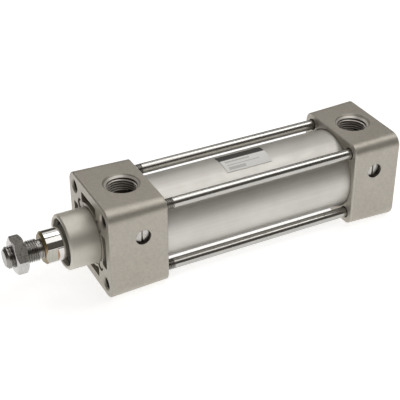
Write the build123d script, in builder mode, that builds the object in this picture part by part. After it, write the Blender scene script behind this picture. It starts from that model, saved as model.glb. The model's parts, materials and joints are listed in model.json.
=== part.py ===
"""Tie-rod pneumatic cylinder, 40 mm bore, 75 mm stroke, adjustable cushions at both ends.

Frame: millimetres, X along the cylinder from the rod end to the head end, +Z up.
The origin is on the rod's axis, in the plane of the rod cover's mounting face.
The cylinder is drawn with the rod fully retracted.
"""
import os
from math import atan, cos, degrees, radians, tan

from build123d import *

os.makedirs("parts", exist_ok=True)

# ---------------------------------------------------------------- driving dimensions
BORE_R = 20.0  # inside of the cylinder tube
TUBE_R = 23.0
STROKE = 75.0
ROD_R = 9.0
COVER_W = 54.0  # square of both end covers at their outer faces
COVER_DRAFT = 1.0  # each side of a cover is this much lower at the tube
COVER_L = 33.5  # rod cover
HEAD_L = 29.0  # head cover
COVER_CORNER_R = 7.0
EDGE = 0.5  # small chamfer round the covers' end faces
BARREL_L = 116.0  # between the two covers
HEAD_X = COVER_L + BARREL_L  # tube side of the head cover
REAR_X = HEAD_X + HEAD_L  # rear mounting face

# covers: mounting spigot, face pockets and central bores
SPIGOT_R = 15.25
SPIGOT_L = 16.4
SPIGOT_EDGE = 0.8
SPIGOT_ROOT_R = 14.9  # where the moats reach under the spigot
RELIEF_R = 16.4  # shallow relief round the spigot's root
RELIEF_DEPTH = 0.6
HUB_R = 17.5
POCKET_OUT = 21.5  # from the axis to a pocket's outer side
POCKET_W = 19.5
POCKET_CORNER_R = 1.2
FRONT_POCKET_DEPTH = 7.0
REAR_POCKET_DEPTH = 4.0
PAD_R = 2.2  # small round pads on the hub, one towards each corner
PAD_AT = 12.0
PAD_DROP = 0.4
MOAT_R = 3.6
MOAT_DEPTH = 4.0
SEAL_POCKET_R = 13.0
SEAL_POCKET_X = -7.0
CLIP_GROOVE_R = 13.7
CLIP_X = -13.5
CLIP_W = 1.3
BUSH_R = 12.0
BUSH_END = 13.5
CHAMBER_R = 12.0  # cushion chamber
CHAMBER_MOUTH_R = 12.4
CUSHION_GROOVE_R = 14.0
CUSHION_GROOVE_W = 3.9
REGISTER_R = 19.9  # register that centres the tube
REGISTER_OUT = 2.0
TUBE_RECESS_R = 23.2
TUBE_RECESS = 5.0
TUBE_RECESS_EDGE = 0.4
GASKET_T = 1.5
HEAD_CHAMBER_L = 24.0

# ports, cushion needles
PORT_R = 8.33
PORT_MOUTH_R = 10.7
PORT_DEPTH = 11.0
PORT_IN_ROD = 19.3  # from the front face
PORT_IN_HEAD = 14.6  # from the rear face
PASSAGE_R = 4.0
PASSAGE_SHIFT = 2.4  # from the port's axis towards the tube
NEEDLE_IN_ROD = 19.1  # from the front face
NEEDLE_IN_HEAD = 15.7  # from the rear face
NEEDLE_Z = 8.3
NEEDLE_BORE_R = 4.3
NEEDLE_BORE_DEPTH = 7.0
NEEDLE_THREAD_R = 2.5
NEEDLE_THREAD_END = 13.0
NEEDLE_SEAT_R = 1.25
NEEDLE_SEAT_END = 20.0
BLEED_R = 1.0
BLEED_Y = -15.5
FIT = 0.05  # radial running clearance
OVERLAP = 1.0  # how far a cut or a joined piece runs past the face it meets
END_GAP = 0.1  # left between a fitted ring and the shoulder behind it

# cushion needles and their O-rings
NEEDLE_TOP = 2.5  # below the widest part of the cover's side
NEEDLE_HEAD_L = 4.0
NEEDLE_HEAD_R = NEEDLE_BORE_R - 2 * FIT
NEEDLE_HEAD_EDGE = 0.3
NEEDLE_STEM_END = 12.0
NEEDLE_TIP_END = 14.6
NEEDLE_CONE_R = 1.1
NEEDLE_TIP_R = 0.5
ORING_GROOVE_AT = 1.6
ORING_GROOVE_W = 1.3
ORING_GROOVE_R = 3.1
NEEDLE_ORING_R = 0.55
DRIVER_SLOT_W = 1.0
DRIVER_SLOT_DEPTH = 1.2

# tie rods and mounting threads
TIE_SPACING = 38.8
TIE_R = 3.0
TIE_START = 17.0
TIE_HEAD_HOLE_R = 3.6
MOUNT_R = 3.4
MOUNT_MOUTH_R = 4.2
MOUNT_DEPTH = 16.0
NUT_POCKET_R = 5.6
NUT_POCKET_DEPTH = 14.0
SLEEVE_NUT_R = 5.5
SLEEVE_NUT_L = 13.0
SLEEVE_NUT_GRIP = 6.5
SLEEVE_SLOT_W = 1.6
SLEEVE_SLOT_DEPTH = 1.6

# rod guide, rod seal, clip and cushion seals
BUSH_FIT = 0.03
WIPER_LIP_L = 2.3
WIPER_ROOT_T = 2.4
WIPER_TIP_T = 0.5
CLIP_SLACK = 0.15  # the clip is this much thinner than its groove
CLIP_REACH = 1.3  # how far the clip stands in from the pocket's wall
CLIP_GAP_W = 5.0
CLIP_GAP_H = 6.0
CUSHION_SEAL_SLACK = 0.3
CUSHION_SEAL_RIM = 0.9
CUSHION_LIP_ROOT_T = 1.0
CUSHION_LIP_TIP_T = 0.6

# rod end
ROD_FACE = -27.5
ROD_TIP = -47.5
ROD_EDGE = 1.2
THREAD_R = 6.0
THREAD_PITCH_R = 5.6  # where the nut's thread and the rod's thread interlock
THREAD_LEAD = 1.4
NECK_R = 5.2
NECK_L = 2.5
FLAT_HALF = 8.0  # half of the 16 mm across the wrench flats
FLAT_L = 6.3
FLAT_RUNOUT = 1.6
FLAT_TILT = 7.0
ROD_NUT_X = -43.3
ROD_NUT_T = 6.5
ROD_NUT_AF = 18.0
ROD_NUT_TURN = -7.0
NUT_FACE_SHARE = 0.97  # round of a nut's face as a share of its half width
NUT_BEVEL = 30.0

# piston and what it carries
PISTON_GAP = 0.5  # left at each end of the stroke
PISTON_L = BARREL_L - 2 * (REGISTER_OUT + PISTON_GAP) - STROKE
PISTON_R = 19.7
PISTON_REAR = HEAD_X - REGISTER_OUT - PISTON_GAP
PISTON_FRONT = PISTON_REAR - PISTON_L
CORE_R = 7.0  # rod diameter inside the piston and the cushion rings
CUSHION_RING_R = 11.0
FRONT_RING_L = 16.5
REAR_RING_L = 14.5
PISTON_NUT_T = 6.0
PISTON_NUT_AF = 17.0
ROD_PAST_NUT = 2.0
PISTON_EDGE = 0.8
SEAL_AT = 3.5  # from the piston's front face
SEAL_W = 5.0
SEAL_GROOVE_R = 16.0
WEAR_AT = 12.0
WEAR_W = 9.0
WEAR_GROOVE_R = 18.2
MAGNET_AT = 24.5
MAGNET_W = 4.0
MAGNET_GROOVE_R = 15.6
MAGNET_R = 19.3
GASKET_AT = 27.0
ORING_R = 0.9
GASKET_GROOVE_W = 2.5 * ORING_R
LIP_L = 1.6  # each of the piston seal's two lips, along the cylinder
LIP_BEVEL_L = 0.8
LIP_BEVEL_DROP = 0.6
LAND_AT = 2.2  # middle land between the lips
LAND_DROP = 0.8
WEAR_EDGE = 0.3
CUSHION_RING_EDGE = 1.0

# name plate
PLATE_X = 77.4
PLATE_L = 28.0
PLATE_T = 0.3
PLATE_START = 75.5
PLATE_ARC = 37.5

FRONT_FACE = Plane(origin=(0, 0, 0), x_dir=(0, 1, 0), z_dir=(-1, 0, 0))
REAR_FACE = Plane(origin=(REAR_X, 0, 0), x_dir=(0, 1, 0), z_dir=(1, 0, 0))


def save(piece, name):
    """Label a finished piece and write it as one STEP file."""
    piece.label = name
    export_step(piece, f"parts/{name}.step")


def turned(points, mode=Mode.ADD):
    """Turn a closed (x, radius) outline about the cylinder's axis in the active part."""
    with BuildSketch(Plane.XY) as outline:
        with BuildLine():
            Polyline(*points, close=True)
        make_face()
    revolve(outline.sketch, axis=Axis.X, mode=mode)


def ring(x, length, inner, outer, edge=0.0):
    """A plain ring on the cylinder's axis, with its outer edges broken by a chamfer."""
    with BuildPart() as body:
        turned([(x, inner), (x, outer - edge), (x + edge, outer), (x + length - edge, outer),
                (x + length, outer - edge), (x + length, inner)]
               if edge else [(x, inner), (x, outer), (x + length, outer), (x + length, inner)])
    return body.part


def cover_features(x_face, outward, port_x, needle_x):
    """Port, cushion needle bore and bleed hole of a cover, cut from the active part."""
    port_floor = COVER_W / 2 - PORT_DEPTH
    top = Plane(origin=(port_x, 0, COVER_W / 2), x_dir=(1, 0, 0), z_dir=(0, 0, 1))
    side = Plane(origin=(needle_x, -COVER_W / 2, NEEDLE_Z), x_dir=(1, 0, 0), z_dir=(0, -1, 0))
    with Locations(top):
        CounterSinkHole(PORT_R, PORT_MOUTH_R, depth=PORT_DEPTH, counter_sink_angle=90)
    with BuildSketch(Plane.XY.offset(port_floor + OVERLAP)) as passage:
        with Locations((port_x - PASSAGE_SHIFT * outward, 0)):
            Circle(PASSAGE_R)
    extrude(passage.sketch, amount=CHAMBER_R - port_floor - 3 * OVERLAP, mode=Mode.SUBTRACT)
    with Locations(side):
        CounterBoreHole(NEEDLE_THREAD_R + FIT, NEEDLE_BORE_R, NEEDLE_BORE_DEPTH, depth=NEEDLE_THREAD_END)
        Hole(NEEDLE_SEAT_R, depth=NEEDLE_SEAT_END)
    with BuildSketch(Plane.YZ.offset(needle_x)) as bleed:
        with Locations((BLEED_Y, NEEDLE_Z)):
            Circle(BLEED_R)
    bleed_l = abs(x_face - needle_x) + REGISTER_OUT + OVERLAP
    extrude(bleed.sketch, amount=-outward * bleed_l, mode=Mode.SUBTRACT)


def face_pockets(face_x, depth):
    """Four die-cast pockets between the corner bosses and the hub, cut into an end face."""
    with BuildSketch(Plane.YZ.offset(face_x)) as pockets:
        Rectangle(POCKET_W, 2 * POCKET_OUT)
        Rectangle(2 * POCKET_OUT, POCKET_W)
        Circle(HUB_R, mode=Mode.SUBTRACT)
        fillet(pockets.vertices(), POCKET_CORNER_R)
    extrude(pockets.sketch, amount=depth, mode=Mode.SUBTRACT)
    inward = 1 if depth > 0 else -1
    with BuildSketch(Plane.YZ.offset(face_x)) as moats:
        with GridLocations(2 * PAD_AT, 2 * PAD_AT, 2, 2):
            Circle(MOAT_R)
            Circle(PAD_R, mode=Mode.SUBTRACT)
    extrude(moats.sketch, amount=inward * MOAT_DEPTH, mode=Mode.SUBTRACT)
    with BuildSketch(Plane.YZ.offset(face_x)) as pads:
        with GridLocations(2 * PAD_AT, 2 * PAD_AT, 2, 2):
            Circle(PAD_R)
    extrude(pads.sketch, amount=inward * PAD_DROP, mode=Mode.SUBTRACT)


def cover_block(outer_x, inward, length):
    """The drafted square block of a cover with its rounded long edges and broken end edges."""
    draft = degrees(atan(COVER_DRAFT / length))
    with BuildPart() as block:
        with BuildSketch(Plane(origin=(outer_x, 0, 0), x_dir=(0, 1, 0), z_dir=(inward, 0, 0))):
            RectangleRounded(COVER_W, COVER_W, COVER_CORNER_R)
        extrude(amount=length, taper=draft)
        chamfer(block.edges().group_by(Axis.X)[0] + block.edges().group_by(Axis.X)[-1], EDGE)
    return block.part


def tube_recess(x, inward):
    """Ring recess for the tube's end in a cover's tube side, with a broken outer edge."""
    floor = x + inward * TUBE_RECESS
    turned([(x, REGISTER_R), (x, TUBE_RECESS_R + TUBE_RECESS_EDGE),
            (x + inward * TUBE_RECESS_EDGE, TUBE_RECESS_R), (floor, TUBE_RECESS_R), (floor, REGISTER_R)],
           mode=Mode.SUBTRACT)


# ---------------------------------------------------------------- rod cover
with BuildPart() as rod_cover:
    add(cover_block(0, 1, COVER_L))
    face_pockets(0, FRONT_POCKET_DEPTH)
    turned([(0, SPIGOT_ROOT_R), (0, RELIEF_R), (RELIEF_DEPTH, RELIEF_R), (RELIEF_DEPTH, SPIGOT_ROOT_R)],
           mode=Mode.SUBTRACT)
    turned([(-SPIGOT_L, 0), (-SPIGOT_L, SPIGOT_R - SPIGOT_EDGE), (SPIGOT_EDGE - SPIGOT_L, SPIGOT_R),
            (RELIEF_DEPTH, SPIGOT_R), (RELIEF_DEPTH, SPIGOT_ROOT_R), (MOAT_DEPTH + OVERLAP, SPIGOT_ROOT_R),
            (MOAT_DEPTH + OVERLAP, 0)])
    tube_recess(COVER_L, -1)
    turned([(COVER_L - OVERLAP, 0), (COVER_L - OVERLAP, REGISTER_R), (COVER_L + REGISTER_OUT, REGISTER_R),
            (COVER_L + REGISTER_OUT, 0)])
    groove_end = COVER_L + REGISTER_OUT - EDGE
    groove_start = groove_end - CUSHION_GROOVE_W
    turned([(-SPIGOT_L, 0), (-SPIGOT_L, SEAL_POCKET_R + EDGE), (EDGE - SPIGOT_L, SEAL_POCKET_R),
            (CLIP_X, SEAL_POCKET_R), (CLIP_X, CLIP_GROOVE_R), (CLIP_X + CLIP_W, CLIP_GROOVE_R),
            (CLIP_X + CLIP_W, SEAL_POCKET_R), (SEAL_POCKET_X, SEAL_POCKET_R), (SEAL_POCKET_X, BUSH_R),
            (groove_start, CHAMBER_R), (groove_start, CUSHION_GROOVE_R), (groove_end, CUSHION_GROOVE_R),
            (groove_end, CHAMBER_MOUTH_R), (COVER_L + REGISTER_OUT, CHAMBER_MOUTH_R),
            (COVER_L + REGISTER_OUT, 0)], mode=Mode.SUBTRACT)
    cover_features(COVER_L, -1, PORT_IN_ROD, NEEDLE_IN_ROD)
    with Locations(FRONT_FACE):
        with GridLocations(TIE_SPACING, TIE_SPACING, 2, 2):
            CounterSinkHole(MOUNT_R, MOUNT_MOUTH_R, depth=MOUNT_DEPTH, counter_sink_angle=90)
    with BuildSketch(Plane.YZ.offset(MOUNT_DEPTH)):
        with GridLocations(TIE_SPACING, TIE_SPACING, 2, 2):
            Circle(TIE_R + FIT)
    extrude(amount=COVER_L - MOUNT_DEPTH, mode=Mode.SUBTRACT)
save(rod_cover.part, "rod_cover")

# ---------------------------------------------------------------- head cover
with BuildPart() as head_cover:
    add(cover_block(REAR_X, -1, HEAD_L))
    face_pockets(REAR_X, -REAR_POCKET_DEPTH)
    tube_recess(HEAD_X, 1)
    turned([(HEAD_X - REGISTER_OUT, 0), (HEAD_X - REGISTER_OUT, REGISTER_R),
            (HEAD_X + OVERLAP, REGISTER_R), (HEAD_X + OVERLAP, 0)])
    mouth = HEAD_X - REGISTER_OUT
    turned([(mouth, 0), (mouth, CHAMBER_MOUTH_R), (mouth + EDGE, CHAMBER_MOUTH_R),
            (mouth + EDGE, CUSHION_GROOVE_R), (mouth + EDGE + CUSHION_GROOVE_W, CUSHION_GROOVE_R),
            (mouth + EDGE + CUSHION_GROOVE_W, CHAMBER_R), (mouth + HEAD_CHAMBER_L, CHAMBER_R),
            (mouth + HEAD_CHAMBER_L, 0)], mode=Mode.SUBTRACT)
    cover_features(HEAD_X, 1, REAR_X - PORT_IN_HEAD, REAR_X - NEEDLE_IN_HEAD)
    with Locations(REAR_FACE):
        with GridLocations(TIE_SPACING, TIE_SPACING, 2, 2):
            CounterBoreHole(TIE_HEAD_HOLE_R, NUT_POCKET_R, NUT_POCKET_DEPTH, depth=HEAD_L)
save(head_cover.part, "head_cover")

# ---------------------------------------------------------------- tube, gaskets and name plate
tube_start = COVER_L - TUBE_RECESS + GASKET_T
tube_end = HEAD_X + TUBE_RECESS - GASKET_T
save(ring(tube_start, tube_end - tube_start, BORE_R, TUBE_R), "cylinder_tube")
save(ring(tube_start - GASKET_T, GASKET_T, BORE_R, TUBE_R), "front_tube_gasket")
save(ring(tube_end, GASKET_T, BORE_R, TUBE_R), "rear_tube_gasket")

with BuildPart() as name_plate:
    with BuildSketch(Plane.XY.rotated((PLATE_START, 0, 0))):
        with Locations((PLATE_X + PLATE_L / 2, TUBE_R + PLATE_T / 2)):
            Rectangle(PLATE_L, PLATE_T)
    revolve(axis=Axis.X, revolution_arc=PLATE_ARC)
save(name_plate.part, "name_plate")

# ---------------------------------------------------------------- tie rods and their sleeve nuts
nut_start = REAR_X - NUT_POCKET_DEPTH
tie_end = nut_start + SLEEVE_NUT_GRIP
for side_name, y in (("near", -TIE_SPACING / 2), ("far", TIE_SPACING / 2)):
    for level_name, z in (("lower", -TIE_SPACING / 2), ("upper", TIE_SPACING / 2)):
        with BuildPart() as tie_rod:
            with BuildSketch(Plane.YZ.offset(TIE_START)):
                with Locations((y, z)):
                    Circle(TIE_R)
            extrude(amount=tie_end - TIE_START)
            chamfer(tie_rod.edges().filter_by(GeomType.CIRCLE), EDGE)
        save(tie_rod.part, f"tie_rod_{level_name}_{side_name}")

with BuildPart() as tie_rod_nuts:
    with BuildSketch(Plane.YZ.offset(nut_start)):
        with GridLocations(TIE_SPACING, TIE_SPACING, 2, 2):
            Circle(SLEEVE_NUT_R)
            Circle(TIE_R + FIT, mode=Mode.SUBTRACT)
    extrude(amount=SLEEVE_NUT_GRIP)
    with BuildSketch(Plane.YZ.offset(nut_start + SLEEVE_NUT_GRIP)):
        with GridLocations(TIE_SPACING, TIE_SPACING, 2, 2):
            Circle(SLEEVE_NUT_R)
            Circle(MOUNT_R, mode=Mode.SUBTRACT)
    extrude(amount=SLEEVE_NUT_L - SLEEVE_NUT_GRIP)
    with BuildSketch(Plane.YZ.offset(nut_start + SLEEVE_NUT_L)):
        with GridLocations(TIE_SPACING, TIE_SPACING, 2, 2):
            Rectangle(3 * SLEEVE_NUT_R, SLEEVE_SLOT_W)
    extrude(amount=-SLEEVE_SLOT_DEPTH, mode=Mode.SUBTRACT)
save(tie_rod_nuts.part, "tie_rod_nuts")

# ---------------------------------------------------------------- rod guide and seals in the rod cover
bush_start = SEAL_POCKET_X + END_GAP
save(ring(bush_start, BUSH_END - bush_start, ROD_R + BUSH_FIT, BUSH_R), "rod_bushing")

with BuildPart() as rod_seal:
    lip_r = ROD_R + FIT
    heel = CLIP_X + CLIP_W + END_GAP
    turned([(SEAL_POCKET_X, lip_r), (SEAL_POCKET_X, SEAL_POCKET_R), (heel, SEAL_POCKET_R),
            (heel, lip_r + WIPER_ROOT_T), (heel - WIPER_LIP_L, lip_r + WIPER_TIP_T),
            (heel - WIPER_LIP_L, lip_r)])
save(rod_seal.part, "rod_seal")

with BuildPart() as seal_clip:
    with BuildSketch(Plane.YZ.offset(CLIP_X + FIT)):
        Circle(CLIP_GROOVE_R - FIT)
        Circle(SEAL_POCKET_R - CLIP_REACH, mode=Mode.SUBTRACT)
        with Locations((0, -SEAL_POCKET_R)):
            Rectangle(CLIP_GAP_W, CLIP_GAP_H, mode=Mode.SUBTRACT)
    extrude(amount=CLIP_W - CLIP_SLACK)
save(seal_clip.part, "seal_clip")


def cushion_seal(x, inward):
    """Lip ring that grips a cushion ring; its lip points along inward, away from the piston."""
    with BuildPart() as seal:
        lip = CUSHION_RING_R + FIT
        tip = x + inward * (CUSHION_GROOVE_W - CUSHION_SEAL_SLACK)
        turned([(x, lip), (x, CUSHION_GROOVE_R - FIT), (tip, CUSHION_GROOVE_R - FIT),
                (tip, CUSHION_GROOVE_R - CUSHION_SEAL_RIM), ((x + tip) / 2, lip + CUSHION_LIP_ROOT_T),
                (tip, lip + CUSHION_LIP_TIP_T), (tip, lip)])
    return seal.part


save(cushion_seal(groove_end - END_GAP, -1), "front_cushion_seal")
save(cushion_seal(mouth + EDGE + END_GAP, 1), "rear_cushion_seal")

# ---------------------------------------------------------------- cushion needles

def needle_outline(top):
    """Half outline of a needle in a plane whose first axis is depth below the cover's side."""
    groove = top + ORING_GROOVE_AT
    return [(top, 0), (top, NEEDLE_HEAD_R - NEEDLE_HEAD_EDGE), (top + NEEDLE_HEAD_EDGE, NEEDLE_HEAD_R),
            (groove, NEEDLE_HEAD_R), (groove, ORING_GROOVE_R),
            (groove + ORING_GROOVE_W, ORING_GROOVE_R), (groove + ORING_GROOVE_W, NEEDLE_HEAD_R),
            (top + NEEDLE_HEAD_L, NEEDLE_HEAD_R), (top + NEEDLE_HEAD_L, NEEDLE_THREAD_R),
            (NEEDLE_STEM_END, NEEDLE_THREAD_R), (NEEDLE_STEM_END, NEEDLE_CONE_R),
            (NEEDLE_TIP_END, NEEDLE_TIP_R), (NEEDLE_TIP_END, 0)]


def needle_plane(x):
    """Plane through a needle's axis: its first axis runs into the cover, its second along X."""
    return Plane(origin=(x, -COVER_W / 2, NEEDLE_Z), x_dir=(0, 1, 0), z_dir=(0, 0, -1))


def cushion_needle(x):
    """Slotted needle screw that throttles the cushion air."""
    with BuildPart() as needle:
        with BuildSketch(needle_plane(x)):
            with BuildLine():
                Polyline(*needle_outline(NEEDLE_TOP), close=True)
            make_face()
        revolve(axis=Axis((x, 0, NEEDLE_Z), (0, 1, 0)))
        with Locations((x, NEEDLE_TOP - COVER_W / 2, NEEDLE_Z)):
            Box(DRIVER_SLOT_W, 2 * DRIVER_SLOT_DEPTH, 3 * NEEDLE_BORE_R, mode=Mode.SUBTRACT)
    return needle.part


def needle_oring(x):
    """O-ring in the needle's groove."""
    with BuildPart() as oring:
        centre = NEEDLE_TOP + ORING_GROOVE_AT + ORING_GROOVE_W / 2
        with BuildSketch(needle_plane(x)):
            with Locations((centre, ORING_GROOVE_R + FIT + NEEDLE_ORING_R)):
                Circle(NEEDLE_ORING_R)
        revolve(axis=Axis((x, 0, NEEDLE_Z), (0, 1, 0)))
    return oring.part


for end_name, x in (("front", NEEDLE_IN_ROD), ("rear", REAR_X - NEEDLE_IN_HEAD)):
    save(cushion_needle(x), f"{end_name}_cushion_needle")
    save(needle_oring(x), f"{end_name}_needle_oring")

# ---------------------------------------------------------------- piston rod
front_ring_x = PISTON_FRONT - FRONT_RING_L
rear_ring_end = PISTON_REAR + REAR_RING_L
rod_rear = rear_ring_end + PISTON_NUT_T + ROD_PAST_NUT
with BuildPart() as piston_rod:
    turned([(ROD_TIP, 0), (ROD_TIP, THREAD_R - THREAD_LEAD), (ROD_TIP + THREAD_LEAD, THREAD_R),
            (ROD_NUT_X, THREAD_R), (ROD_NUT_X, THREAD_PITCH_R), (ROD_NUT_X + ROD_NUT_T, THREAD_PITCH_R),
            (ROD_NUT_X + ROD_NUT_T, THREAD_R), (ROD_FACE - NECK_L, THREAD_R), (ROD_FACE - NECK_L, NECK_R),
            (ROD_FACE, NECK_R), (ROD_FACE, ROD_R - ROD_EDGE), (ROD_FACE + ROD_EDGE, ROD_R),
            (front_ring_x, ROD_R), (front_ring_x, CORE_R), (rear_ring_end, CORE_R),
            (rear_ring_end, THREAD_R), (rod_rear - EDGE, THREAD_R), (rod_rear, THREAD_R - EDGE),
            (rod_rear, 0)])
    with BuildSketch(Plane.XY.rotated((FLAT_TILT, 0, 0))):
        with BuildLine():
            flat_end = ROD_FACE + FLAT_L
            Polyline((ROD_FACE, FLAT_HALF), (flat_end, FLAT_HALF), (flat_end + FLAT_RUNOUT, ROD_R + OVERLAP),
                     (ROD_FACE, ROD_R + OVERLAP), close=True)
        make_face()
        mirror(about=Plane.XZ)
    extrude(amount=2 * ROD_R, both=True, mode=Mode.SUBTRACT)
save(piston_rod.part, "piston_rod")


def hex_nut(x, thickness, across_flats, bore_r, turn):
    """Hexagon nut on the cylinder's axis, with its corners turned off at both faces."""
    half = across_flats / 2
    corner_r = half / cos(radians(30))
    face_r = NUT_FACE_SHARE * half
    bevel = (corner_r - face_r) * tan(radians(NUT_BEVEL))
    with BuildPart() as nut:
        with BuildSketch(Plane.YZ.offset(x)):
            RegularPolygon(half, 6, major_radius=False, rotation=turn)
            Circle(bore_r, mode=Mode.SUBTRACT)
        extrude(amount=thickness)
        turned([(x, 0), (x, face_r), (x + bevel, corner_r), (x + thickness - bevel, corner_r),
                (x + thickness, face_r), (x + thickness, 0)], mode=Mode.INTERSECT)
    return nut.part


save(hex_nut(ROD_NUT_X, ROD_NUT_T, ROD_NUT_AF, THREAD_PITCH_R, ROD_NUT_TURN), "rod_end_nut")
save(hex_nut(rear_ring_end, PISTON_NUT_T, PISTON_NUT_AF, THREAD_R, 0), "piston_nut")

# ---------------------------------------------------------------- piston
with BuildPart() as piston:
    turned([(PISTON_FRONT, CORE_R), (PISTON_FRONT, PISTON_R - PISTON_EDGE),
            (PISTON_FRONT + PISTON_EDGE, PISTON_R), (PISTON_REAR - PISTON_EDGE, PISTON_R),
            (PISTON_REAR, PISTON_R - PISTON_EDGE), (PISTON_REAR, CORE_R)])
    for at, width, floor in ((SEAL_AT, SEAL_W, SEAL_GROOVE_R), (WEAR_AT, WEAR_W, WEAR_GROOVE_R),
                             (MAGNET_AT, MAGNET_W, MAGNET_GROOVE_R)):
        start = PISTON_FRONT + at
        turned([(start, floor), (start, BORE_R), (start + width, BORE_R), (start + width, floor)],
               mode=Mode.SUBTRACT)
    start = PISTON_FRONT + GASKET_AT
    end = start + GASKET_GROOVE_W
    turned([(start, CORE_R), (start, CORE_R + 2 * ORING_R), (end, CORE_R + 2 * ORING_R), (end, CORE_R)],
           mode=Mode.SUBTRACT)
save(piston.part, "piston")

with BuildPart() as piston_seal:
    s0 = PISTON_FRONT + SEAL_AT + FIT
    s1 = s0 + SEAL_W - 2 * FIT
    lip = BORE_R - FIT
    turned([(s0, SEAL_GROOVE_R + FIT), (s0, lip - LIP_BEVEL_DROP), (s0 + LIP_BEVEL_L, lip),
            (s0 + LIP_L, lip), (s0 + LAND_AT, lip - LAND_DROP), (s1 - LAND_AT, lip - LAND_DROP),
            (s1 - LIP_L, lip), (s1 - LIP_BEVEL_L, lip), (s1, lip - LIP_BEVEL_DROP),
            (s1, SEAL_GROOVE_R + FIT)])
save(piston_seal.part, "piston_seal")

wear_start = PISTON_FRONT + WEAR_AT + FIT
save(ring(wear_start, WEAR_W - 2 * FIT, WEAR_GROOVE_R + FIT, BORE_R - FIT, WEAR_EDGE), "wear_ring")
save(ring(PISTON_FRONT + MAGNET_AT, MAGNET_W, MAGNET_GROOVE_R, MAGNET_R), "magnet_ring")
save(ring(front_ring_x, FRONT_RING_L, CORE_R, CUSHION_RING_R, CUSHION_RING_EDGE), "front_cushion_ring")
save(ring(PISTON_REAR, REAR_RING_L, CORE_R, CUSHION_RING_R, CUSHION_RING_EDGE), "rear_cushion_ring")

with BuildPart() as piston_gasket:
    with BuildSketch(Plane.XY):
        with Locations((PISTON_FRONT + GASKET_AT + GASKET_GROOVE_W / 2, CORE_R + ORING_R)):
            Circle(ORING_R)
    revolve(axis=Axis.X)
save(piston_gasket.part, "piston_gasket")
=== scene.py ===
"""Looks of the tie-rod pneumatic cylinder: materials, threads, label, floor, light and camera.

Everything is in metres, in the frame of the CAD model: X from the rod end to the head end, +Z up,
with the origin on the rod's axis at the rod cover's mounting face.
"""
import json
import math

import bmesh
import bpy
from mathutils import Matrix, Vector


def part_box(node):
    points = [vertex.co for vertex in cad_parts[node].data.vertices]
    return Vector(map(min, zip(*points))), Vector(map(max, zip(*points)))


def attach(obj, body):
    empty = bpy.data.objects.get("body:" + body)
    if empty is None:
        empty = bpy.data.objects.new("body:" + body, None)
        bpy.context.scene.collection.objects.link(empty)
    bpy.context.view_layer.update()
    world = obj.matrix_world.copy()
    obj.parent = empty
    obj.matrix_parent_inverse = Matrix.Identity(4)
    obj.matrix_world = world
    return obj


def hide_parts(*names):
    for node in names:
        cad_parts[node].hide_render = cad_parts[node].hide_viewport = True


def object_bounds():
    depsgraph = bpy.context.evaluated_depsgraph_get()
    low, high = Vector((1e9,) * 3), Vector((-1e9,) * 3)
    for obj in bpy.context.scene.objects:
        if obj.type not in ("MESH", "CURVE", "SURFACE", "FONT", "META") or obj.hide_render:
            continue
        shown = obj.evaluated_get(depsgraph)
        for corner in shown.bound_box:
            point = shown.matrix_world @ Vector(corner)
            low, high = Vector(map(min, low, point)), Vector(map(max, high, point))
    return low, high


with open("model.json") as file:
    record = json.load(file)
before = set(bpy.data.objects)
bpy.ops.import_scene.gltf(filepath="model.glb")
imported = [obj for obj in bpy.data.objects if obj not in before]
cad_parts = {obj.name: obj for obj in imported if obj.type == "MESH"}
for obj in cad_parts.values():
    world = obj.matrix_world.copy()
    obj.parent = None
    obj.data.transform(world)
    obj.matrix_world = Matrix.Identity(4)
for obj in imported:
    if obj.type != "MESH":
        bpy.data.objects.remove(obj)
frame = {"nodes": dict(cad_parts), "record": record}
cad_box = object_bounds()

MM = 0.001
FULL_TURN = 2 * math.pi


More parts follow.
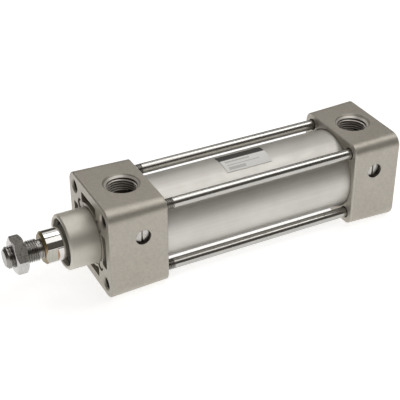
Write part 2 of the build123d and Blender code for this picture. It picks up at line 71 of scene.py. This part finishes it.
# ---------------------------------------------------------------- node helpers
class Shader:
    """A material's node tree with short calls for the nodes used here."""

    def __init__(self, name, metallic, specular=0.5):
        self.material = bpy.data.materials.new(name)
        self.material.use_nodes = True
        self.tree = self.material.node_tree
        self.tree.nodes.clear()
        self.surface = self.tree.nodes.new("ShaderNodeBsdfPrincipled")
        self.surface.inputs["Metallic"].default_value = metallic
        self.surface.inputs["Specular IOR Level"].default_value = specular
        output = self.tree.nodes.new("ShaderNodeOutputMaterial")
        self.tree.links.new(self.surface.outputs["BSDF"], output.inputs["Surface"])
        self.place = self.tree.nodes.new("ShaderNodeTexCoord").outputs["Object"]

    def put(self, socket, value):
        """Link a socket or set a constant on an input socket."""
        if isinstance(value, bpy.types.NodeSocket):
            self.tree.links.new(value, socket)
        else:
            socket.default_value = value

    def stretched(self, scale):
        """Object coordinates scaled per axis, for streaks."""
        mapping = self.tree.nodes.new("ShaderNodeMapping")
        mapping.inputs["Scale"].default_value = scale
        self.tree.links.new(self.place, mapping.inputs["Vector"])
        return mapping.outputs["Vector"]

    def noise(self, scale, detail=3.0, roughness=0.55, place=None):
        """Fractal noise; the scale is in features per metre."""
        texture = self.tree.nodes.new("ShaderNodeTexNoise")
        texture.inputs["Scale"].default_value = scale
        texture.inputs["Detail"].default_value = detail
        texture.inputs["Roughness"].default_value = roughness
        self.tree.links.new(place or self.place, texture.inputs["Vector"])
        return texture.outputs["Fac"]

    def ramp(self, value, stops):
        """Colour ramp; stops are (position, grey or colour)."""
        node = self.tree.nodes.new("ShaderNodeValToRGB")
        self.tree.links.new(value, node.inputs["Fac"])
        elements = node.color_ramp.elements
        while len(elements) < len(stops):
            elements.new(0.5)
        for element, (position, colour) in zip(elements, stops):
            element.position = position
            element.color = rgba(colour)
        return node.outputs["Color"]

    def math(self, operation, *values):
        """One Math node."""
        node = self.tree.nodes.new("ShaderNodeMath")
        node.operation = operation
        for socket, value in zip(node.inputs, values):
            self.put(socket, value)
        return node.outputs[0]

    def mix(self, factor, a, b):
        """Mix of two colours."""
        node = self.tree.nodes.new("ShaderNodeMix")
        node.data_type = "RGBA"
        self.put(node.inputs["Factor"], factor)
        self.put(node.inputs["A"], a if isinstance(a, bpy.types.NodeSocket) else rgba(a))
        self.put(node.inputs["B"], b if isinstance(b, bpy.types.NodeSocket) else rgba(b))
        return node.outputs["Result"]

    def axes(self):
        """X, Y and Z of the point, in metres."""
        node = self.tree.nodes.new("ShaderNodeSeparateXYZ")
        self.tree.links.new(self.place, node.inputs[0])
        return node.outputs[0], node.outputs[1], node.outputs[2]

    def near_axis(self, a, b, centre, radius):
        """1 within a radius of an axis that crosses the a-b plane at the centre, 0 beyond."""
        da = self.math("SUBTRACT", a, centre[0])
        db = self.math("SUBTRACT", b, centre[1])
        square = self.math("ADD", self.math("MULTIPLY", da, da), self.math("MULTIPLY", db, db))
        return self.math("LESS_THAN", square, radius * radius)

    def edge_mask(self, radius):
        """1 on outer edges and corners within a radius, 0 on flat ground."""
        bevel = self.tree.nodes.new("ShaderNodeBevel")
        bevel.samples = 6
        bevel.inputs["Radius"].default_value = radius
        plain = self.tree.nodes.new("ShaderNodeNewGeometry")
        dot = self.tree.nodes.new("ShaderNodeVectorMath")
        dot.operation = "DOT_PRODUCT"
        self.tree.links.new(bevel.outputs["Normal"], dot.inputs[0])
        self.tree.links.new(plain.outputs["Normal"], dot.inputs[1])
        return self.ramp(dot.outputs["Value"], [(0.93, 1.0), (0.995, 0.0)])

    def bump(self, height, strength, distance, below=None):
        """Bump from a height socket, stacked on an earlier bump."""
        node = self.tree.nodes.new("ShaderNodeBump")
        node.inputs["Strength"].default_value = strength
        node.inputs["Distance"].default_value = distance
        self.tree.links.new(height, node.inputs["Height"])
        if below is not None:
            self.tree.links.new(below, node.inputs["Normal"])
        self.tree.links.new(node.outputs["Normal"], self.surface.inputs["Normal"])
        return node.outputs["Normal"]

    def finish(self, colour, roughness):
        """Set the base colour and the roughness, then hand the material over."""
        self.put(self.surface.inputs["Base Color"], colour)
        self.put(self.surface.inputs["Roughness"], roughness)
        return self.material


def rgba(colour):
    """Grey value or RGB triple to RGBA."""
    if isinstance(colour, (int, float)):
        return (colour, colour, colour, 1.0)
    return (*colour, 1.0)


# ---------------------------------------------------------------- materials
BORE_MARGIN = 0.1 * MM
MOUNT_HOLE_DEPTH = 16.0 * MM
LIT_RIM = 1.0 * MM  # depth of the mounting holes' wall that still catches light
LIT_RIM_START = 0.8  # share of the rim's depth that stays fully lit
LEAD_IN = 1.05 * MM  # width of the bright chamfer round a port's thread
SKIN = 0.05 * MM  # the top face's skin, which the chamfer's mask leaves out


def bore_shade_mask(s):
    """Painted shade: 1 inside the covers' drilled and tapped holes (ports, needle bores, mounting holes),
    which are darkened to stand in for the shade inside them.
    """
    x, y, z = s.axes()
    across, up = s.math("ABSOLUTE", y), s.math("ABSOLUTE", z)
    masks = []
    for mount in frame["record"]["mounts"]:
        if mount["kind"] == "threaded_hole":
            ring = s.near_axis(x, y, mount["pos_m"], mount["dims"]["r_mm"] * MM + BORE_MARGIN)
            masks.append(s.math("MULTIPLY", ring, s.math("GREATER_THAN", z, 0.0)))
        if mount["name"] == "front_threads":
            half = mount["dims"]["spacing_x_mm"] / 2 * MM
            ring = s.near_axis(across, up, (half, half), mount["dims"]["hole_r_mm"] * MM + BORE_MARGIN)
            shade = s.ramp(s.math("MULTIPLY_ADD", x, 1 / LIT_RIM, -LIT_RIM_START), [(0.0, 0.0), (1.0, 1.0)])
            bottom = s.math("LESS_THAN", x, MOUNT_HOLE_DEPTH)
            masks.append(s.math("MULTIPLY", ring, s.math("MULTIPLY", shade, bottom)))
    for needle in ("front_cushion_needle", "rear_cushion_needle"):
        start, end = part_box(needle)
        centre = ((start.x + end.x) / 2, (start.z + end.z) / 2)
        ring = s.near_axis(x, z, centre, (end.z - start.z) / 2 + 2 * BORE_MARGIN)
        masks.append(s.math("MULTIPLY", ring, s.math("LESS_THAN", y, 0.0)))
    total = masks[0]
    for mask in masks[1:]:
        total = s.math("MAXIMUM", total, mask)
    return total


def lead_in_mask(s):
    """1 on the inner part of the chamfers at the ports' mouths."""
    x, y, z = s.axes()
    below = s.math("LESS_THAN", z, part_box("rod_cover")[1].z - SKIN)
    masks = []
    for mount in frame["record"]["mounts"]:
        if mount["kind"] == "threaded_hole":
            ring = s.near_axis(x, y, mount["pos_m"], mount["dims"]["r_mm"] * MM + LEAD_IN)
            above = s.math("GREATER_THAN", z, 0.0)
            masks.append(s.math("MULTIPLY", ring, s.math("MULTIPLY", above, below)))
    return s.math("MAXIMUM", masks[0], masks[1])


def cast_cover_material():
    """Die-cast aluminium under a satin warm grey metallic coat: fine orange peel, edges lightened partly as
    rubbed wear and partly as a painted highlight (most on the head cover), and painted shade in the holes.
    """
    s = Shader("cast_cover", metallic=0.58)
    x = s.axes()[0]
    spigot = s.math("LESS_THAN", x, -0.1 * MM)
    cloud = s.noise(55, detail=4)
    grain = s.noise(3200, detail=2, roughness=0.7)
    base = s.mix(s.ramp(cloud, [(0.3, 0.0), (0.7, 1.0)]), (0.38, 0.348, 0.298), (0.43, 0.40, 0.347))
    mottle = s.ramp(s.noise(620, detail=3, roughness=0.65), [(0.38, 0.0), (0.62, 0.42)])
    mottled = s.mix(mottle, base, (0.52, 0.485, 0.42))
    flecks = s.mix(s.ramp(grain, [(0.42, 0.0), (0.68, 0.5)]), mottled, (0.59, 0.56, 0.50))
    turned = s.mix(s.math("MULTIPLY", spigot, 0.6), flecks, (0.76, 0.73, 0.65))
    # the edges are lightened partly as rubbed wear and partly as a painted highlight, much more on the head
    # cover than on the rod cover
    lightening = s.math("MULTIPLY_ADD", s.math("GREATER_THAN", x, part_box("name_plate")[0].x), 0.7, 0.15)
    edge_lightened = s.mix(s.math("MULTIPLY", s.edge_mask(0.45 * MM), lightening), turned, (0.80, 0.78, 0.72))
    chamfered = s.mix(s.math("MULTIPLY", lead_in_mask(s), 0.85), edge_lightened, (0.92, 0.88, 0.82))
    # painted shade: the holes get a near-black colour in place of the shade inside them
    painted_bore_shade = s.mix(bore_shade_mask(s), chamfered, (0.10, 0.088, 0.075))
    s.bump(s.noise(900, detail=3), 0.25, 0.05 * MM, s.bump(grain, 0.3, 0.02 * MM))
    gloss = s.ramp(s.noise(400), [(0.25, 0.36), (0.75, 0.47)])
    return s.finish(painted_bore_shade, s.math("MULTIPLY_ADD", spigot, 0.05, gloss))


def anodised_tube_material():
    """Drawn aluminium tube, clear anodised: satin, with faint lengthwise draw marks."""
    s = Shader("anodised_tube", metallic=0.85)
    draw = s.noise(1.0, detail=3, place=s.stretched((6, 900, 900)))
    cloud = s.noise(30)
    base = s.mix(s.ramp(cloud, [(0.3, 0.0), (0.7, 1.0)]), (0.60, 0.58, 0.54), (0.66, 0.645, 0.605))
    streaked = s.mix(s.ramp(draw, [(0.4, 0.0), (0.75, 0.35)]), base, (0.74, 0.73, 0.70))
    s.bump(draw, 0.12, 0.02 * MM)
    return s.finish(streaked, s.ramp(s.noise(250), [(0.3, 0.46), (0.7, 0.53)]))


def bright_steel_material(name, colour, low, high, streak=(900, 40, 40)):
    """Bright plated or turned steel with fine marks; streak is the grain per axis."""
    s = Shader(name, metallic=1.0)
    marks = s.noise(1.0, detail=3, place=s.stretched(streak))
    dark = tuple(0.86 * c for c in colour)
    base = s.mix(s.ramp(marks, [(0.35, 0.0), (0.7, 1.0)]), dark, colour)
    s.bump(marks, 0.08, 0.01 * MM)
    return s.finish(base, s.ramp(s.noise(500), [(0.3, low), (0.7, high)]))


def zinc_material():
    """Dull zinc plating, mottled, with rubbed corners."""
    s = Shader("zinc_plate", metallic=0.95)
    mottle = s.noise(700, detail=4, roughness=0.7)
    base = s.mix(s.ramp(mottle, [(0.35, 0.0), (0.7, 1.0)]), (0.48, 0.47, 0.45), (0.64, 0.63, 0.61))
    edge_lightened = s.mix(s.math("MULTIPLY", s.edge_mask(0.35 * MM), 0.7), base, (0.78, 0.77, 0.74))
    s.bump(mottle, 0.2, 0.02 * MM)
    return s.finish(edge_lightened, s.ramp(mottle, [(0.3, 0.24), (0.7, 0.36)]))


def chrome_material():
    """Hard chromed, ground and polished rod with the faintest grinding marks round it."""
    s = Shader("hard_chrome", metallic=1.0)
    rings = s.noise(1.0, detail=2, place=s.stretched((5200, 30, 30)))
    base = s.mix(s.ramp(rings, [(0.3, 0.0), (0.7, 1.0)]), (0.62, 0.61, 0.59), (0.72, 0.71, 0.69))
    s.bump(rings, 0.03, 0.004 * MM)
    return s.finish(base, s.ramp(s.noise(300), [(0.3, 0.05), (0.7, 0.10)]))


def passivated_material():
    """Olive yellow passivation on the rod's shoulder, turning lighter and coppery towards the near side
    (−Y).
    """
    s = Shader("passivated_shoulder", metallic=0.8)
    mottle = s.noise(900, detail=3)
    base = s.mix(s.ramp(mottle, [(0.3, 0.0), (0.7, 1.0)]), (0.20, 0.16, 0.07), (0.31, 0.25, 0.135))
    # the colour turns lighter and coppery towards −Y
    nearness = s.math("MULTIPLY_ADD", s.axes()[1], -1 / (2.5 * MM), -2.4)
    lightening = s.mix(s.ramp(nearness, [(0.0, 0.0), (1.0, 0.85)]), base, (0.50, 0.30, 0.20))
    s.bump(mottle, 0.2, 0.02 * MM)
    return s.finish(lightening, s.ramp(mottle, [(0.3, 0.32), (0.7, 0.45)]))


def plain_material(name, colour, low, high, metallic=0.0, scale=600, relief=0.15):
    """Rubber, resin, bronze and the like: slight mottling in colour, gloss and surface."""
    s = Shader(name, metallic=metallic)
    mottle = s.noise(scale, detail=4, roughness=0.65)
    dark = tuple(0.75 * c for c in colour)
    base = s.mix(s.ramp(mottle, [(0.3, 0.0), (0.7, 1.0)]), dark, colour)
    s.bump(mottle, relief, 0.03 * MM)
    return s.finish(base, s.ramp(mottle, [(0.3, low), (0.7, high)]))


# The label's fields: degrees round the tube from +Y, and for the marks their share of its length.
LABEL_BAND = (75.5, 89.5)
LABEL_BARS = ((93.0, 96.0), (0.08, 0.62))
LABEL_LINES = ((100.5, 102.0), (0.08, 0.80))
LABEL_FIELD = ((105.0, 110.0), (0.08, 0.45))


def label_material(plate):
    """Blank foil label: a dark band, two ruled lines and a small field; there is no print."""
    low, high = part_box(plate)
    s = Shader("foil_label", metallic=0.0)
    x, y, z = s.axes()
    angle = s.math("DEGREES", s.math("ARCTAN2", z, y))

    def inside(value, start, end):
        """1 where start < value < end."""
        return s.math("MULTIPLY", s.math("GREATER_THAN", value, start), s.math("LESS_THAN", value, end))

    along = s.math("DIVIDE", s.math("SUBTRACT", x, low.x), high.x - low.x)
    paper = s.noise(1500, detail=2)
    ground = s.mix(s.ramp(paper, [(0.3, 0.0), (0.7, 1.0)]), (0.93, 0.93, 0.90), (0.97, 0.97, 0.94))
    band = s.mix(inside(angle, *LABEL_BAND), ground, (0.065, 0.065, 0.06))
    bars, lines, field = [s.math("MULTIPLY", inside(angle, *around), inside(along, *length))
                          for around, length in (LABEL_BARS, LABEL_LINES, LABEL_FIELD)]
    marks = s.math("MAXIMUM", bars, s.math("MAXIMUM", lines, field))
    colour = s.mix(s.math("MULTIPLY", marks, 0.45), band, (0.30, 0.30, 0.29))
    s.bump(paper, 0.08, 0.01 * MM)
    return s.finish(colour, s.ramp(paper, [(0.3, 0.30), (0.7, 0.42)]))


# ---------------------------------------------------------------- mesh helpers
def new_piece(name, mesh, body, materials, smooth_under=32.0):
    """Wrap a mesh as a piece that rides on a CAD body, with its materials and smooth shading."""
    piece = bpy.data.objects.new(name, mesh)
    bpy.context.scene.collection.objects.link(piece)
    for material in materials:
        mesh.materials.append(material)
    mesh.shade_smooth()
    mesh.set_sharp_from_angle(angle=math.radians(smooth_under))
    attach(piece, body)
    return piece


class Thread:
    """A right-hand thread on a stretch of a lathe outline, from x_start to x_end."""

    CREST = 0.125
    ROOT = 0.125

    def __init__(self, x_start, x_end, crest_r, depth, pitch):
        self.x_start, self.x_end = x_start, x_end
        self.crest_r, self.depth, self.pitch = crest_r, depth, pitch

    def rows(self):
        """(turn, phase, cut) of each line that follows the helix; cut is 0 at a crest, 1 at a root."""
        flank = (1 - self.CREST - self.ROOT) / 2
        turns = math.ceil((self.x_end - self.x_start) / self.pitch) + 1
        for turn in range(-1, turns):
            for phase, cut in ((0.0, 0.0), (self.CREST, 0.0), (self.CREST + flank, 1.0), (1 - flank, 1.0)):
                yield turn, phase, cut

    def point(self, turn, phase, cut, share):
        """Axial place and radius of a helix line at this share of a full turn; it runs out at both ends."""
        x = self.x_start + self.pitch * (turn + phase + share)
        x = min(max(x, self.x_start), self.x_end)
        room = min(x - self.x_start, self.x_end - x) / self.pitch
        return x, self.crest_r - self.depth * cut * min(1.0, 2.0 * room)


def lathe(name, outline, segments=96, centre=(0.0, 0.0)):
    """Closed mesh turned about X. The outline holds (x, r) points and Thread stretches."""
    bm = bmesh.new()
    columns = []
    for step in range(segments + 1):
        share = step / segments
        angle = share * FULL_TURN
        line = []
        for item in outline:
            points = ([item.point(*row, share) for row in item.rows()] if isinstance(item, Thread)
                      else [item])
            line += [bm.verts.new((x, centre[0] + r * math.cos(angle), centre[1] + r * math.sin(angle)))
                     for x, r in points]
        columns.append(line)
    for left, right in zip(columns, columns[1:]):
        for a, b, c, d in zip(left, right, right[1:], left[1:]):
            bm.faces.new((a, d, c, b))
    bmesh.ops.remove_doubles(bm, verts=bm.verts, dist=1e-7)
    bmesh.ops.dissolve_degenerate(bm, edges=bm.edges, dist=1e-7)
    bmesh.ops.recalc_face_normals(bm, faces=bm.faces)
    mesh = bpy.data.meshes.new(name)
    bm.to_mesh(mesh)
    bm.free()
    return mesh


def prism(name, corners, half_depth, turn):
    """Prism along Z from (x, y) corners, turned about X."""
    bm = bmesh.new()
    layers = [[bm.verts.new((x, y, z)) for x, y in corners] for z in (-half_depth, half_depth)]
    bm.faces.new(layers[0][::-1])
    bm.faces.new(layers[1])
    for i in range(len(corners)):
        j = (i + 1) % len(corners)
        bm.faces.new((layers[0][i], layers[0][j], layers[1][j], layers[1][i]))
    bmesh.ops.recalc_face_normals(bm, faces=bm.faces)
    bmesh.ops.transform(bm, matrix=Matrix.Rotation(turn, 4, "X"), verts=bm.verts)
    mesh = bpy.data.meshes.new(name)
    bm.to_mesh(mesh)
    bm.free()
    return bpy.data.objects.new(name, mesh)


def cut_away(mesh, cutters):
    """The mesh less the cutters, which are deleted."""
    scene = bpy.context.scene.collection
    target = bpy.data.objects.new("cut_target", mesh)
    scene.objects.link(target)
    for cutter in cutters:
        scene.objects.link(cutter)
        modifier = target.modifiers.new("cut", "BOOLEAN")
        modifier.operation = "DIFFERENCE"
        modifier.solver = "EXACT"
        modifier.object = cutter
    graph = bpy.context.evaluated_depsgraph_get()
    result = bpy.data.meshes.new_from_object(target.evaluated_get(graph))
    for leftover in [target, *cutters]:
        bpy.data.objects.remove(leftover)
    result.name = mesh.name
    return result


def paint_faces(mesh, slot, wanted):
    """Give the faces for which wanted(centre, normal) is true the material slot."""
    for face in mesh.polygons:
        if wanted(face.center, face.normal):
            face.material_index = slot


# ---------------------------------------------------------------- piston rod with its real thread
ROD_SHOULDER = 20.0 * MM  # from the rod's tip
NECK_LENGTH = 2.5 * MM
NECK_R = 5.1 * MM
THREAD_R = 5.98 * MM
THREAD_PITCH = 1.25 * MM
THREAD_DEPTH = 0.62 * THREAD_PITCH
TIP_LEAD = 1.4 * MM
SHOULDER_EDGE = 1.2 * MM
FLAT_HALF = 8.0 * MM
FLAT_LENGTH = 6.3 * MM
FLAT_RUNOUT = 1.6 * MM
FLAT_TILT = math.radians(7.0)
CORE_R = 7.0 * MM
NECK_EDGE = 0.5 * MM
END_EDGE = 0.5 * MM
NECK_RUNOUT = 0.4 * MM
TIP_DROP = 0.1 * MM  # the tip's cone ends this much under the crests
CUT_MARGIN = 1.0 * MM  # how far the flats' cutters stand out past the rod
HAIR = 0.01 * MM
THREADED, PASSIVATED, MILLED = 1, 2, 3  # material slots after the plain one


def build_piston_rod():
    """Rod with helical thread, neck, wrench flats and stepped rear end."""
    low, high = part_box("piston_rod")
    ring_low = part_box("front_cushion_ring")[0].x
    ring_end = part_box("rear_cushion_ring")[1].x
    rod_r = high.z
    tip, shoulder = low.x, low.x + ROD_SHOULDER
    neck = shoulder - NECK_LENGTH
    outline = [(tip, 0.0), (tip, THREAD_R - TIP_LEAD - TIP_DROP), (tip + TIP_LEAD, THREAD_R - TIP_DROP),
               Thread(tip + TIP_LEAD, neck, THREAD_R, THREAD_DEPTH, THREAD_PITCH),
               (neck + NECK_RUNOUT, NECK_R), (shoulder - NECK_EDGE, NECK_R), (shoulder, NECK_R + NECK_EDGE),
               (shoulder, rod_r - SHOULDER_EDGE), (shoulder + SHOULDER_EDGE, rod_r), (ring_low, rod_r),
               (ring_low, CORE_R), (ring_end, CORE_R), (ring_end, THREAD_R), (high.x - END_EDGE, THREAD_R),
               (high.x, THREAD_R - END_EDGE), (high.x, 0.0)]
    solid = lathe("piston_rod_threaded", outline, segments=144)
    flat_end = shoulder + FLAT_LENGTH
    sides = [(shoulder - CUT_MARGIN, FLAT_HALF), (flat_end, FLAT_HALF),
             (flat_end + FLAT_RUNOUT, rod_r + CUT_MARGIN), (shoulder - CUT_MARGIN, rod_r + CUT_MARGIN)]
    cutters = [prism(f"flat_{i}", [(x, sign * y) for x, y in sides], 2 * rod_r, FLAT_TILT)
               for i, sign in enumerate((1, -1))]
    solid = cut_away(solid, cutters)
    rod = new_piece("piston_rod_threaded", solid, "rod",
                    [chrome, dark_steel, passivated, milled_flat])
    across_flat = Vector((0.0, math.cos(FLAT_TILT), math.sin(FLAT_TILT)))
    paint_faces(solid, THREADED, lambda centre, normal: centre.x < shoulder - HAIR)
    paint_faces(solid, PASSIVATED, lambda centre, normal: centre.x > shoulder - HAIR and normal.x < -0.3)
    paint_faces(solid, MILLED, lambda centre, normal: abs(normal.dot(across_flat)) > 0.9999
                and shoulder < centre.x < flat_end)
    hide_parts("piston_rod")
    return rod


# ---------------------------------------------------------------- tie rods with rolled ends
TIE_PITCH = 1.0 * MM
TIE_DEPTH = 0.42 * MM
TIE_THREAD_SHOWN = 5.6 * MM  # thread left showing outside the rod cover
TIE_EDGE = 0.5 * MM
TUBE_SEAT = 3.5 * MM  # how deep the tube stands in the rod cover


def build_tie_rods():
    """Four tie rods, threaded at both ends."""
    cover_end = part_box("cylinder_tube")[0].x + TUBE_SEAT
    nut_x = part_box("tie_rod_nuts")[0].x
    for node in sorted(n for n in frame["nodes"] if n.startswith("tie_rod_") and n != "tie_rod_nuts"):
        low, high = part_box(node)
        centre = ((low.y + high.y) / 2, (low.z + high.z) / 2)
        r = (high.z - low.z) / 2
        outline = [(low.x, 0.0), (low.x, r - TIE_EDGE), (low.x + TIE_EDGE, r),
                   Thread(low.x + TIE_EDGE, cover_end + TIE_THREAD_SHOWN, r, TIE_DEPTH, TIE_PITCH),
                   Thread(nut_x, high.x - TIE_EDGE, r, TIE_DEPTH, TIE_PITCH),
                   (high.x - TIE_EDGE, r), (high.x, r - TIE_EDGE), (high.x, 0.0)]
        mesh = lathe(node + "_threaded", outline, segments=48, centre=centre)
        piece = new_piece(node + "_threaded", mesh, "barrel", [tie_steel, dark_steel])
        paint_faces(mesh, THREADED, lambda centre, normal: centre.x < cover_end + TIE_THREAD_SHOWN)
        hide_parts(node)


# ---------------------------------------------------------------- port threads
PORT_R = 8.33 * MM
PORT_PITCH = 1.5 * MM
PORT_RIDGE = 0.60 * MM
PORT_DEPTH = 11.0 * MM
PORT_MOUTH = 2.4 * MM
PORT_THREAD_START = math.radians(234.0)
PORT_BOTTOM_GAP = 0.3 * MM
PORT_STEPS_A_TURN = 96
RIDGE_OUTLINE = ((0.06, 0.0), (0.24, 1.0), (0.54, 1.0), (0.72, 0.0))  # (share of pitch, share of rise)
RIDGE_SINK = 0.02 * MM  # how far the ridge's two ends sink into the wall
RIDGE_FADE = 5.0  # the ridge fades out over a fifth of a turn at both ends
LEAST_RISE = 0.02  # share of the ridge's rise left at its two ends
LIT_FLANK, CREST = 0, 1  # sides of the outline: the one that faces up, the one that faces the axis


def build_port_thread(mount):
    """Helical ridge standing in from a port's wall: a closed band that follows the bore."""
    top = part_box("rod_cover")[1].z
    x, y, _ = mount["pos_m"]
    turns = (PORT_DEPTH - PORT_BOTTOM_GAP - PORT_MOUTH) / PORT_PITCH - 1.0
    steps = int(PORT_STEPS_A_TURN * turns)
    bm = bmesh.new()
    sections = []
    for step in range(steps + 1):
        turned = turns * step / steps
        angle = PORT_THREAD_START - turned * FULL_TURN
        fade = min(1.0, RIDGE_FADE * min(turned, turns - turned))
        section = []
        for phase, rise in RIDGE_OUTLINE:
            depth = PORT_MOUTH + PORT_PITCH * (turned + phase)
            r = PORT_R + RIDGE_SINK - (PORT_RIDGE * rise + RIDGE_SINK) * max(fade, LEAST_RISE)
            section.append(bm.verts.new((x + r * math.cos(angle), y + r * math.sin(angle), top - depth)))
        sections.append(section)
    for a, b in zip(sections, sections[1:]):
        for i in range(len(RIDGE_OUTLINE)):
            j = (i + 1) % len(RIDGE_OUTLINE)
            face = bm.faces.new((a[i], a[j], b[j], b[i]))
            # painted light and shade: the upward flank takes a lighter copy of the thread's metal, the
            # crest a near-white painted highlight, and the other faces a dark copy as painted shade
            face.material_index = {LIT_FLANK: 1, CREST: 2}.get(i, 0)
    bm.faces.new(sections[0])
    bm.faces.new(sections[-1][::-1])
    bmesh.ops.recalc_face_normals(bm, faces=bm.faces)
    mesh = bpy.data.meshes.new(mount["name"] + "_ridge")
    bm.to_mesh(mesh)
    bm.free()
    return new_piece(mount["name"] + "_ridge", mesh, "barrel",
                     [thread_painted_shade, thread_flank_painted_light, thread_crest_painted_highlight])


# ---------------------------------------------------------------- build
cover = cast_cover_material()
# the port threads' three finishes are one cut metal in a dark painted-shade copy, a lighter painted-light
# copy and a near-white painted-highlight copy
thread_painted_shade = bright_steel_material("port_thread_painted_shade", (0.17, 0.145, 0.125), 0.30, 0.42, (200, 200, 2000))
thread_flank_painted_light = bright_steel_material("thread_flank_painted_light", (0.60, 0.56, 0.51), 0.40, 0.52, (200, 200, 2000))
thread_crest_painted_highlight = plain_material("thread_crest_painted_highlight", (0.95, 0.90, 0.84), 0.40, 0.50, metallic=0.25)
milled_flat = bright_steel_material("milled_flat", (0.50, 0.485, 0.43), 0.16, 0.26, (2500, 60, 60))
tube = anodised_tube_material()
tie_steel = bright_steel_material("tie_rod_steel", (0.53, 0.52, 0.49), 0.18, 0.26, (60, 900, 900))
dark_steel = bright_steel_material("thread_steel", (0.34, 0.33, 0.31), 0.20, 0.32)
needle_steel = bright_steel_material("needle_steel", (0.55, 0.53, 0.50), 0.25, 0.35, (900, 60, 900))
spring_steel = bright_steel_material("spring_steel", (0.10, 0.095, 0.09), 0.35, 0.50)
turned_alloy = bright_steel_material("turned_alloy", (0.70, 0.70, 0.70), 0.25, 0.36, (2500, 60, 60))
zinc = zinc_material()
chrome = chrome_material()
passivated = passivated_material()
black_rubber = plain_material("black_rubber", (0.022, 0.022, 0.022), 0.55, 0.75)
urethane = plain_material("seal_urethane", (0.10, 0.16, 0.10), 0.40, 0.55)
resin = plain_material("wear_resin", (0.20, 0.13, 0.075), 0.50, 0.65)
ferrite = plain_material("bonded_magnet", (0.05, 0.05, 0.055), 0.45, 0.60)
bronze = plain_material("sintered_bronze", (0.46, 0.30, 0.14), 0.35, 0.50, metallic=0.9, scale=2500)

BY_SLOT = {"cover": cover, "tube": tube, "tie_rod": tie_steel, "zinc_steel": zinc, "rod_chrome": chrome,
           "needle_steel": needle_steel, "spring_steel": spring_steel, "bronze": bronze,
           "piston_alloy": turned_alloy, "seal_rubber": black_rubber, "seal_urethane": urethane,
           "wear_plastic": resin, "magnet": ferrite, "plate": label_material("name_plate")}
for part in frame["record"]["subparts"]:
    for slot in frame["nodes"][part["node"]].material_slots:
        slot.material = BY_SLOT[part["material_slot"]]

build_piston_rod()
build_tie_rods()
for mount in frame["record"]["mounts"]:
    if mount["kind"] == "threaded_hole":
        build_port_thread(mount)


# ---------------------------------------------------------------- floor, light, camera
low, high = cad_box
middle = (low + high) / 2
TABLE_GLOW = 0.72
TABLE_HALF = 3.0  # metres
CAMERA_PLACE = Vector((-156.92, -431.13, 312.91)) * MM
CAMERA_AZIMUTH, CAMERA_TILT, CAMERA_ROLL = (math.radians(a) for a in (62.73, 32.63, -0.06))
CAMERA_LENS = 93.88  # mm, on a sensor 36 mm wide


def floor():
    """Plain pale shooting table under the cylinder, which glows a little."""
    bm = bmesh.new()
    corners = [bm.verts.new((middle.x + sx * TABLE_HALF, middle.y + sy * TABLE_HALF, low.z))
               for sx, sy in ((-1, -1), (1, -1), (1, 1), (-1, 1))]
    bm.faces.new(corners)
    mesh = bpy.data.meshes.new("floor")
    bm.to_mesh(mesh)
    bm.free()
    plane = bpy.data.objects.new("floor", mesh)
    bpy.context.scene.collection.objects.link(plane)
    s = Shader("floor_paper", metallic=0.0, specular=0.2)
    s.surface.inputs["Emission Color"].default_value = (1.0, 1.0, 1.0, 1.0)
    s.surface.inputs["Emission Strength"].default_value = TABLE_GLOW
    mesh.materials.append(s.finish(s.ramp(s.noise(3), [(0.3, 0.68), (0.7, 0.72)]), 0.9))


def softbox(name, place, width, height, watts, colour=(1.0, 1.0, 1.0)):
    """Area light aimed at the middle of the cylinder."""
    data = bpy.data.lights.new(name, "AREA")
    data.shape = "RECTANGLE"
    data.size, data.size_y = width, height
    data.energy = watts
    data.color = colour
    light = bpy.data.objects.new(name, data)
    light.location = middle + Vector(place)
    light.rotation_euler = (-Vector(place)).to_track_quat("-Z", "Y").to_euler()
    bpy.context.scene.collection.objects.link(light)


def sky():
    """Dim, even studio surroundings."""
    world = bpy.data.worlds.new("studio")
    world.use_nodes = True
    background = world.node_tree.nodes["Background"]
    background.inputs["Color"].default_value = (1.0, 0.90, 0.78, 1.0)
    background.inputs["Strength"].default_value = 0.10
    bpy.context.scene.world = world


def camera():
    """Camera at the viewing angle of the reference: azimuth from +X, downward tilt and roll."""
    azimuth, tilt, roll = CAMERA_AZIMUTH, CAMERA_TILT, CAMERA_ROLL
    look = Vector((math.cos(tilt) * math.cos(azimuth), math.cos(tilt) * math.sin(azimuth), -math.sin(tilt)))
    right = look.cross(Vector((0, 0, 1))).normalized()
    up = right.cross(look)
    right, up = (math.cos(roll) * right + math.sin(roll) * up, math.cos(roll) * up - math.sin(roll) * right)
    data = bpy.data.cameras.new("camera")
    data.sensor_width = 36.0
    data.lens = CAMERA_LENS
    data.clip_start, data.clip_end = 0.01, 20.0
    eye = bpy.data.objects.new("camera", data)
    eye.matrix_world = Matrix.Translation(CAMERA_PLACE) @ Matrix((right, up, -look)).transposed().to_4x4()
    bpy.context.scene.collection.objects.link(eye)
    bpy.context.scene.camera = eye


floor()
sky()
softbox("overhead_front", (0.14, -0.33, 0.90), 1.05, 0.56, 2.45)
softbox("overhead_back", (0.26, 0.23, 0.90), 1.3, 0.36, 3.0)
softbox("back", (0.0, 0.85, 0.80), 1.6, 0.36, 1.5)
camera()
bpy.context.scene.view_settings.view_transform = "Standard"
